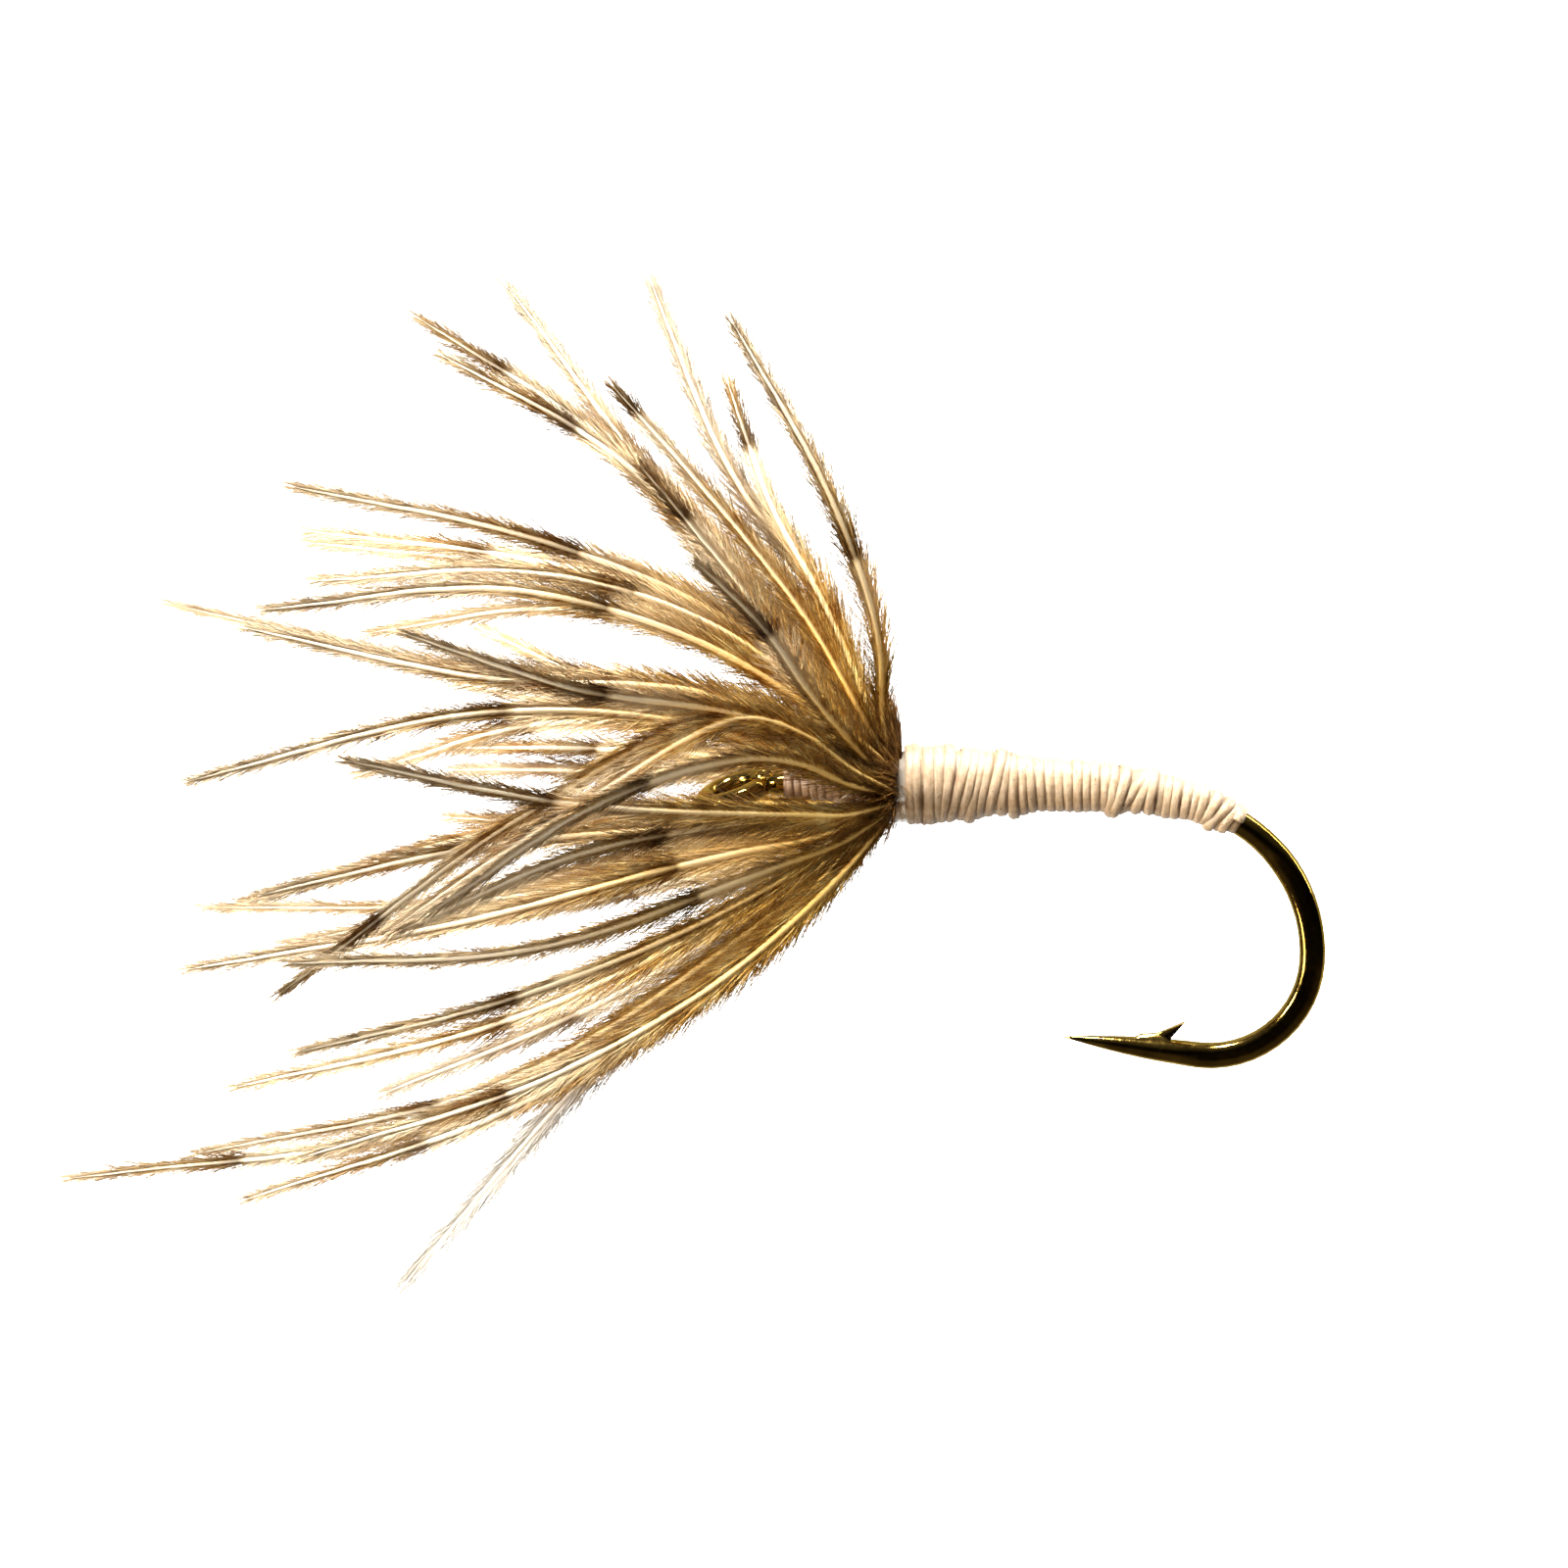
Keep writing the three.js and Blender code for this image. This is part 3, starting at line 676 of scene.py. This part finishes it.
def make_stem():
    """The wound stem, with the short down that clothes the feather's base standing out of it."""
    t = np.linspace(0, 1, STEM_STEPS)
    a = 2 * np.pi * STEM_TURNS * t
    x = SHANK_START[0] + STEM_END - STEM_R - STEM_PITCH * STEM_TURNS * t
    outward = np.stack([np.zeros(STEM_STEPS), -np.sin(a), np.cos(a)], 1)
    middle = np.stack([x, np.zeros(STEM_STEPS), np.full(STEM_STEPS, SHANK_START[2])], 1)
    path = middle + STEM_HELIX_R * outward
    sides = np.cross(unit(np.gradient(path, axis=0)), outward)
    angle = ring_angles(STEM_SIDES)
    lumpy = 1 + 0.05 * np.interp(t, np.linspace(0, 1, 60), rng.normal(0, 1, 60))
    grooved = lumpy[:, None] * (1 + 0.05 * np.cos(STEM_GROOVES * angle))[None]
    high, wide = STEM_HALF_HEIGHT * grooved * np.cos(angle), STEM_HALF_WIDTH * grooved * np.sin(angle)
    pile = Pile()
    add_strand(pile, path, outward, sides, np.stack([high, wide], -1), length_so_far(path))
    add_down(pile, path, outward)
    add_tuft(pile)
    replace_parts(pile.build("stem_windings", HORN, "hackle_stem"), "hackle_stem")


def add_down(pile, path, outward):
    """Short down all round the windings, mostly on the first turns."""
    n = DOWN_HAIRS
    place = (STEM_STEPS * rng.uniform(0, 1, n) ** 1.5).astype(int)
    out = outward[place]
    heading = unit(out + FORWARDS * rng.uniform(-0.05, 0.8, n)[:, None] + rng.normal(0, 0.16, (n, 3)))
    bend = FORWARDS * rng.uniform(0.0, 0.6, n)[:, None] + rng.normal(0, 0.12, (n, 3))
    add_hairs(
        pile, path[place] + out * DOWN_ROOT, heading, bend, rng.uniform(0.25, 1.0, n),
        rng.uniform(0.007, 0.014, n), **any_streak(n),
    )


def add_tuft(pile):
    """Longer down that stands straight up from the top of the collar."""
    n = TUFT_HAIRS
    root = np.stack([rng.uniform(3.2, 3.4, n), rng.uniform(-0.3, 0.3, n), rng.uniform(0.5, 0.75, n)], 1)
    heading = unit(np.stack([rng.uniform(-0.12, 0.04, n), rng.normal(0, 0.14, n), np.ones(n)], 1))
    bend = np.stack([rng.uniform(-0.3, -0.02, n), rng.normal(0, 0.1, n), np.zeros(n)], 1)
    add_hairs(
        pile, root, heading, bend, rng.uniform(0.5, 1.7, n), rng.uniform(0.008, 0.015, n), **any_streak(n)
    )


# ---- The clipped ends -------------------------------------------------------------------------------

STUB_SIDES = 8  # corners in each ring of a clipped end, in the CAD and here
STUB_STEPS = 24


def stub_centreline(name):
    """Points down a clipped end's middle, in mm, from the end nearest the shank."""
    points = node_points(name)
    axis = np.linalg.svd(points - points.mean(0))[2][0]
    rings = points[np.argsort(points @ axis)].reshape(-1, STUB_SIDES, 3).mean(1)
    shank = np.array([rings[0][0], 0.0, SHANK_START[2]])
    closer = np.linalg.norm(rings[0] - shank) < np.linalg.norm(rings[-1] - shank)
    return rings if closer else rings[::-1]


def frayed_stub(name, node, material, slot, strands, thick, spread, fuzz):
    """A clipped end as a bundle of strands that part towards the cut, with loose fibres on it."""
    centre, length = smooth_path(stub_centreline(node), STUB_STEPS)
    t = np.linspace(0, 1, STUB_STEPS)
    tangents, normals = frames_along(centre, [0.2, -1, 0.3])
    sides = np.cross(tangents, normals)
    angle = ring_angles(STUB_SIDES)
    round_section = np.stack([np.cos(angle), np.sin(angle)], -1)
    pile = Pile()
    for k in range(strands):
        turn = 2 * np.pi * k / strands + rng.uniform(-0.3, 0.3)
        offset = thick * (0.75 if k else 0.0) * (1 + spread * t**2)[:, None]
        twist = (turn + 1.6 * t)[:, None]
        path = centre + offset * (normals * np.cos(twist) + sides * np.sin(twist))
        path = centre[0] + (path - centre[0]) * rng.uniform(0.85, 1.15)
        radius = thick * rng.uniform(0.42, 0.6) * (1 - 0.35 * t)
        add_strand(pile, path, normals, sides, radius[:, None, None] * round_section[None], length * t)
    place = rng.integers(4, STUB_STEPS, fuzz)
    heading = unit(tangents[place] + rng.normal(0, 0.55, (fuzz, 3)))
    add_hairs(
        pile, centre[place], heading, rng.normal(0, 0.25, (fuzz, 3)), rng.uniform(0.12, 0.4, fuzz),
        rng.uniform(0.004, 0.008, fuzz), **any_streak(fuzz),
    )
    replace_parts(pile.build(name, material, slot), node)


# ---- The wound silk ---------------------------------------------------------------------------------

# Lumps in the winding: distance along the wire in mm, angle round it from the top over the near side in
# degrees, height in mm, and how far the lump spreads along the wire.
LUMPS = [
    (3.2, 178, 0.15, 0.12), (3.85, 175, 0.08, 0.10), (4.3, 178, 0.10, 0.14), (5.1, 180, 0.10, 0.12),
    (7.2, 172, 0.15, 0.20), (8.2, 190, 0.06, 0.25), (9.4, 168, 0.13, 0.14), (4.6, 10, 0.07, 0.16),
    (3.6, 350, 0.04, 0.12), (6.6, 200, 0.04, 0.3), (8.9, 20, 0.03, 0.2), (5.9, 180, 0.05, 0.5),
]
# Where the wraps lean: distance along the wire, lean in mm at the top of the wrap, and spread in mm.
LEANS = [(3.9, 0.23, 0.35), (4.55, 0.2, 0.3), (7.45, 0.28, 0.26), (9.3, 0.16, 0.25)]

CORE_STEP, CORE_SIDES, CORE_CLEARANCE = 0.12, 40, 0.01
TURN_STEPS, THREAD_SIDES, THREAD_STRANDS = 48, 20, 5
STRAND_DEPTH, STRAND_TWIST = 0.055, 5.0  # share of the thread's thickness, and radians per mm
UNEVEN_LAYING, UNEVEN_PITCH, UNEVEN_THREAD = 0.013, 0.018, 0.004  # mm, as standard deviations


def lump_height(distance, angle):
    total = 0.0
    for at, degrees, height, spread in LUMPS:
        turn = math.cos(angle - math.radians(degrees))
        total += height * math.exp(-(((distance - at) / spread) ** 2)) * max(turn, 0.0) ** 3
    return total


def lean_at(distance, angle):
    return sum(
        lean * math.exp(-(((distance - at) / spread) ** 2)) * math.cos(angle) for at, lean, spread in LEANS
    )


def round_the_wire(distance, angle, radius):
    """A point round the wire and its direction from the middle, by the angle from the top to near side."""
    centre, _, outward = wire_at(distance)
    direction = outward * math.cos(angle) - ACROSS * math.sin(angle)
    return centre + direction * radius, direction


def silk_core(pile, start, end, stations, outer, depth):
    """A closed sleeve just under the wraps, so that nothing shows through between them."""
    places = np.linspace(start, end, max(3, int((end - start) / CORE_STEP)))
    angles = ring_angles(CORE_SIDES)
    rings = []
    for s in places:
        r = np.interp(s, stations, outer) - depth
        rings.append([round_the_wire(s, -a, r + 0.8 * lump_height(s, -a))[0] for a in angles])
    for s in places[::-1]:
        rings.append([round_the_wire(s, -a, WIRE_R + CORE_CLEARANCE)[0] for a in angles])
    along = np.repeat(np.arange(len(rings)) * CORE_STEP, CORE_SIDES)
    pile.add(
        np.array(rings), ring_faces(len(rings), CORE_SIDES), along=along,
        around=np.tile(angles / np.pi, len(rings)), loose=0.0,
    )


def thread_path(start, stations, outer, pitch, width, height, turns, lumpy):
    """The thread's middle and its outward direction, step by step, wound with uneven tension."""
    phase = np.linspace(0, turns, int(turns * TURN_STEPS))
    knots = int(turns) + 3
    lifts = np.interp(phase, np.arange(knots), rng.normal(0, UNEVEN_LAYING, knots))
    slips = np.interp(phase, np.arange(knots), rng.normal(0, UNEVEN_PITCH, knots))
    ripples = np.interp(phase, np.arange(8 * knots) / 8, rng.normal(0, UNEVEN_THREAD, 8 * knots))
    path, up = [], []
    for p, lift, slip, ripple in zip(phase, lifts, slips, ripples):
        a = 2 * np.pi * p
        s = start + width / 2 + pitch * p + slip
        r = np.interp(s, stations, outer) - height + lift + ripple
        if lumpy:
            r += lump_height(s, a)
            s += lean_at(s, a)
        point, direction = round_the_wire(s, a, r)
        path.append(point)
        up.append(direction)
    return np.array(path), np.array(up)


def wound_thread(name, nodes, start, end, pitch, width, height, lumpy, fuzz, material):
    """One twisted thread wound edge to edge over the outer surface of a CAD layer, all in mm."""
    stations, outer = outer_profile(nodes[0])
    turns = (end - start - width) / pitch
    path, up = thread_path(start, stations, outer, pitch, width, height, turns, lumpy)
    side = np.cross(unit(np.gradient(path, axis=0)), up)
    run = length_so_far(path)
    angle = ring_angles(THREAD_SIDES)
    strands = 1 + STRAND_DEPTH * np.cos(THREAD_STRANDS * angle[None] + STRAND_TWIST * run[:, None])
    section = np.stack([height * strands * np.cos(angle), 0.6 * width * strands * np.sin(angle)], -1)
    pile = Pile()
    add_strand(pile, path, up, side, section, run, loose=0.0)
    silk_core(pile, start, end, stations, outer, height * 1.1)
    place = rng.integers(0, len(path), fuzz)
    heading = unit(up[place] * 0.7 + rng.normal(0, 0.6, (fuzz, 3)))
    add_hairs(
        pile, path[place] + up[place] * (height * 0.8), heading, rng.normal(0, 0.5, (fuzz, 3)),
        rng.uniform(0.03, 0.13, fuzz), rng.uniform(0.004, 0.007, fuzz), **any_streak(fuzz), loose=1.0,
    )
    piece = pile.build(name, material, "silk")
    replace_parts(piece, *nodes)


# The glaze of cement: where it lies along the wire and its radii there, in mm.
CEMENT_PLACES = np.linspace(2.44, 2.88, 10)
CEMENT_RADII = [0.46, 0.50, 0.53, 0.56, 0.59, 0.62, 0.65, 0.68, 0.71, 0.72]
CEMENT_UNDERSIDE, CEMENT_INSIDE = 0.77, 0.44
CEMENT_SIDES = 48


def make_cement():
    """A thin uneven glaze over the silk where it meets the hackle, filled out to a lip underneath."""
    angles = ring_angles(CEMENT_SIDES)
    swell = np.interp(angles, np.linspace(0, 2 * np.pi, 13), np.r_[0, rng.normal(0, 0.02, 11), 0])
    underneath = np.clip(-np.cos(angles), 0, 1) ** 1.5
    rings = []
    for s, r in zip(CEMENT_PLACES, CEMENT_RADII):
        radii = r + swell + (CEMENT_UNDERSIDE - r) * underneath
        rings.append([round_the_wire(s, -a, radius)[0] for a, radius in zip(angles, radii)])
    rings += [[round_the_wire(s, -a, CEMENT_INSIDE)[0] for a in angles] for s in CEMENT_PLACES[::-1]]
    pile = Pile()
    pile.add(np.array(rings), ring_faces(len(rings), CEMENT_SIDES))
    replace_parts(pile.build("cement_glaze", GLAZE, "cement"), "head_cement")


# ---- The studio -------------------------------------------------------------------------------------

ELEVATION = math.radians(10)
PICTURE_WIDTH = 0.032  # m of the fly's plane that the picture takes in
LENS, SENSOR = 400, 36
PICTURE_CENTRE = Vector((0.001, 0, 0.00015))


def make_camera():
    data = bpy.data.cameras.new("camera")
    data.lens, data.sensor_width = LENS, SENSOR
    data.clip_start, data.clip_end = 0.01, 10
    camera = bpy.data.objects.new("camera", data)
    bpy.context.scene.collection.objects.link(camera)
    back = Vector((0, -math.cos(ELEVATION), math.sin(ELEVATION)))
    camera.location = PICTURE_CENTRE + back * (PICTURE_WIDTH * LENS / SENSOR)
    camera.rotation_euler = (-back).to_track_quat("-Z", "Y").to_euler()
    bpy.context.scene.camera = camera


def make_light(name, place, size, watts, colour, along=(1, 0, 0), length=None):
    """A disk aimed at the fly or, where it has a length, a strip that runs along the direction given."""
    data = bpy.data.lights.new(name, "AREA")
    data.energy, data.color = watts, colour
    data.shape, data.size = "DISK", size
    if length:
        data.shape, data.size, data.size_y = "RECTANGLE", length, size
    away = Vector(place).normalized()
    across = Vector(along)
    across = (across - away * across.dot(away)).normalized()
    light = bpy.data.objects.new(name, data)
    light.location = place
    light.rotation_euler = Matrix((across, away.cross(across), away)).transposed().to_euler()
    bpy.context.scene.collection.objects.link(light)


# The room's light by height, from straight down to straight up: a share of the way, and a colour.
ROOM_LIGHT = [
    (0.0, (0.52, 0.42, 0.30)), (0.24, (0.40, 0.32, 0.23)), (0.40, (0.04, 0.032, 0.025)),
    (0.62, (0.02, 0.02, 0.018)), (0.80, (0.4, 0.39, 0.37)), (1.0, (0.8, 0.8, 0.78)),
]
# The white backdrop behind the fly, by direction: from straight towards the camera to straight away.
BACKDROP = [(0.0, (0, 0, 0)), (0.60, (0, 0, 0)), (0.70, (1.2, 1.2, 1.17)), (1.0, (1.2, 1.2, 1.17))]
MIRRORED_ROOM = (0.35, 0.35, 0.35, 1)  # how much of the room's light a reflection shows
SEEN_WHITE = 1.05


def make_world():
    """The camera sees white, and the fly is lit and mirrored by a room that is dark at eye level."""
    world = bpy.data.worlds.new("studio")
    bpy.context.scene.world = world
    world.use_nodes = True
    tree = world.node_tree
    tree.nodes.clear()
    new, link = tree.nodes.new, tree.links.new
    place, split = new("ShaderNodeTexCoord"), new("ShaderNodeSeparateXYZ")
    link(place.outputs["Generated"], split.inputs[0])

    def light_along(axis, stops):
        share, ramp = new("ShaderNodeMapRange"), new("ShaderNodeValToRGB")
        share.inputs["From Min"].default_value = -1
        fill_ramp(ramp, stops)
        link(split.outputs[axis], share.inputs["Value"])
        link(share.outputs["Result"], ramp.inputs["Fac"])
        return ramp.outputs["Color"]

    def mixed(blend):
        made = new("ShaderNodeMix")
        made.data_type, made.blend_type = "RGBA", blend
        return made

    rays = new("ShaderNodeLightPath")
    dimmed, brighter = mixed("MULTIPLY"), mixed("LIGHTEN")
    link(rays.outputs["Is Glossy Ray"], dimmed.inputs[0])
    link(light_along("Z", ROOM_LIGHT), dimmed.inputs[6])
    dimmed.inputs[7].default_value = MIRRORED_ROOM
    brighter.inputs[0].default_value = 1.0
    link(dimmed.outputs[2], brighter.inputs[6])
    link(light_along("Y", BACKDROP), brighter.inputs[7])

    lit, seen = new("ShaderNodeBackground"), new("ShaderNodeBackground")
    link(brighter.outputs[2], lit.inputs["Color"])
    seen.inputs["Color"].default_value = (1, 1, 1, 1)
    seen.inputs["Strength"].default_value = SEEN_WHITE
    either, output = new("ShaderNodeMixShader"), new("ShaderNodeOutputWorld")
    link(rays.outputs["Is Camera Ray"], either.inputs["Fac"])
    link(lit.outputs[0], either.inputs[1])
    link(seen.outputs[0], either.inputs[2])
    link(either.outputs[0], output.inputs["Surface"])


FLOOR_HALF, FLOOR_Z = 3.0, -0.03


def make_floor():
    """A plain pale floor below the fly. It glows a little, so that it meets the white background."""
    mesh = bpy.data.meshes.new("floor")
    corners = [(x * FLOOR_HALF, y * FLOOR_HALF, FLOOR_Z) for x, y in ((-1, -1), (1, -1), (1, 1), (-1, 1))]
    mesh.from_pydata(corners, [], [(0, 1, 2, 3)])
    floor = bpy.data.objects.new("floor", mesh)
    paint = Shader("pale_floor")
    paint.set(Base_Color=(0.92, 0.92, 0.92), Roughness=0.9)
    paint.set(Emission_Color=(1.0, 1.0, 1.0), Emission_Strength=0.62)
    mesh.materials.append(paint.material)
    bpy.context.scene.collection.objects.link(floor)
    floor.visible_diffuse = floor.visible_glossy = False


# ---- The whole scene --------------------------------------------------------------------------------

bpy.context.scene.view_settings.view_transform = "Standard"
make_camera()
make_world()
make_floor()
make_light("key", place=(-0.05, -0.06, 0.33), size=0.09, watts=3.5, colour=(1, 0.985, 0.96))
make_light(
    "strip", place=(0.23, 0.11, 0.23), size=0.05, watts=2.0, colour=(1, 0.97, 0.92), along=(0.7, 0, -0.7),
    length=0.45,
)
make_light("low", place=(-0.10, -0.07, -0.03), size=0.07, watts=0.32, colour=(1, 0.93, 0.8))
make_light("left", place=(-0.26, -0.15, 0.10), size=0.10, watts=2.1, colour=(1, 0.97, 0.92))

finish_hook()
wound_thread(
    "silk_body", ["thread_body", "thread_shoulder", "thread_underbody"], start=3.18, end=9.77, pitch=0.187,
    width=0.19, height=0.06, lumpy=True, fuzz=700, material=SILK,
)
wound_thread(
    "silk_neck", ["thread_neck_wraps"], start=0.33, end=2.24, pitch=0.16, width=0.16, height=0.05,
    lumpy=False, fuzz=60, material=SHADED_NECK_SILK,
)
wound_thread(
    "silk_whip_finish", ["whip_finish"], start=2.80, end=3.22, pitch=0.13, width=0.17, height=0.07,
    lumpy=False, fuzz=40, material=SILK,
)
make_cement()
make_stem()
frayed_stub("stem_butt", "stem_butt_tag", HORN, "hackle_stem", strands=6, thick=0.055, spread=0.5, fuzz=60)
frayed_stub("feather_tip", "feather_tip_tag", HORN, "hackle_stem", strands=4, thick=0.04, spread=0.3, fuzz=16)
frayed_stub("silk_end", "thread_end", SILK, "silk", strands=5, thick=0.024, spread=0.9, fuzz=10)
for barb_index in range(len(BARB_LOOKS)):
    make_barb(barb_index)
